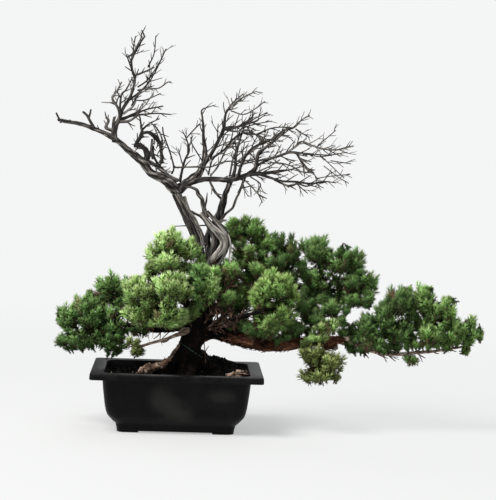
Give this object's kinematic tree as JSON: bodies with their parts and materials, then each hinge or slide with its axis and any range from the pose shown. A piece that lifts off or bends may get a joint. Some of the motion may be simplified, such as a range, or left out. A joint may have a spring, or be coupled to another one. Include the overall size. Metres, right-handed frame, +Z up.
{
  "type": "bonsai tree in a pot",
  "caption": "Juniper bonsai in a plain rectangular training pot: bare twisted deadwood rises over dense green foliage pads, with one long limb reaching past the pot.",
  "frame": {"origin": "on the floor, under the middle of the whole tree's bounding box; the pot's middle is 140 mm towards -X and 3 mm towards +Y from it", "axes": "+X along the tree's longest spread, towards its long right-hand limb; +Y to its back; +Z up"},
  "size_m": [0.6735, 0.2083, 0.6141],
  "materials": {
    "pot_plastic": "satin black moulded plastic, dusty",
    "mesh_plastic": "dark green moulded screen",
    "soil": "loose dark bonsai soil",
    "tie_wire": "thin green coated tie wire",
    "bark": "rough flaking bark",
    "deadwood": "weathered grey bare wood",
    "foliage_bright": "bright yellow-green needle foliage",
    "foliage_deep": "deep green needle foliage"
  },
  "bodies": {
    "root": {"pot": "pot_plastic", "drainage_mesh_left": "mesh_plastic", "drainage_mesh_right": "mesh_plastic", "soil": "soil", "tie_wire": "tie_wire", "trunk": "bark", "limb_right": "bark", "limb_right_tip": "bark", "limb_drop": "bark", "limb_left": "bark", "branch_left_low": "bark", "limb_back": "bark", "limb_back_leader": "bark", "limb_front": "bark", "limb_left_up": "bark", "bark_bit_front": "bark", "bark_bit_back": "bark", "deadwood_twisted": "deadwood", "deadwood_left": "deadwood", "deadwood_riser": "deadwood", "deadwood_strand": "deadwood", "deadwood_snag": "deadwood", "dead_leader": "deadwood", "dead_spray_left": "deadwood", "dead_spray_left_inner": "deadwood", "dead_spray_left_upper": "deadwood", "dead_spray_middle": "deadwood", "dead_loop_middle": "deadwood", "dead_limb_upright": "deadwood", "dead_limb_level": "deadwood", "dead_crown_left": "deadwood", "dead_crown_back": "deadwood", "dead_crown_middle": "deadwood", "dead_crown_front": "deadwood", "dead_crown_fork": "deadwood", "dead_crown_right": "deadwood", "dead_crown_far_right": "deadwood", "dead_twig_cross": "deadwood", "foliage_left_front": "foliage_bright", "foliage_left_top": "foliage_bright", "foliage_centre_front": "foliage_bright", "foliage_tuft": "foliage_bright", "foliage_left_outer": "foliage_deep", "foliage_left_back": "foliage_deep", "foliage_left_inner": "foliage_deep", "foliage_trunk_side": "foliage_deep", "foliage_crown_left": "foliage_deep", "foliage_crown_middle": "foliage_deep", "foliage_crown_inner": "foliage_deep", "foliage_crown_right": "foliage_deep", "foliage_centre_back": "foliage_deep", "foliage_centre_inner": "foliage_deep", "foliage_right_inner": "foliage_deep", "foliage_right_outer": "foliage_deep", "foliage_sprig_left": "foliage_deep", "foliage_drop": "foliage_deep", "foliage_sprig_right": "foliage_deep"}
  },
  "joints": []
}
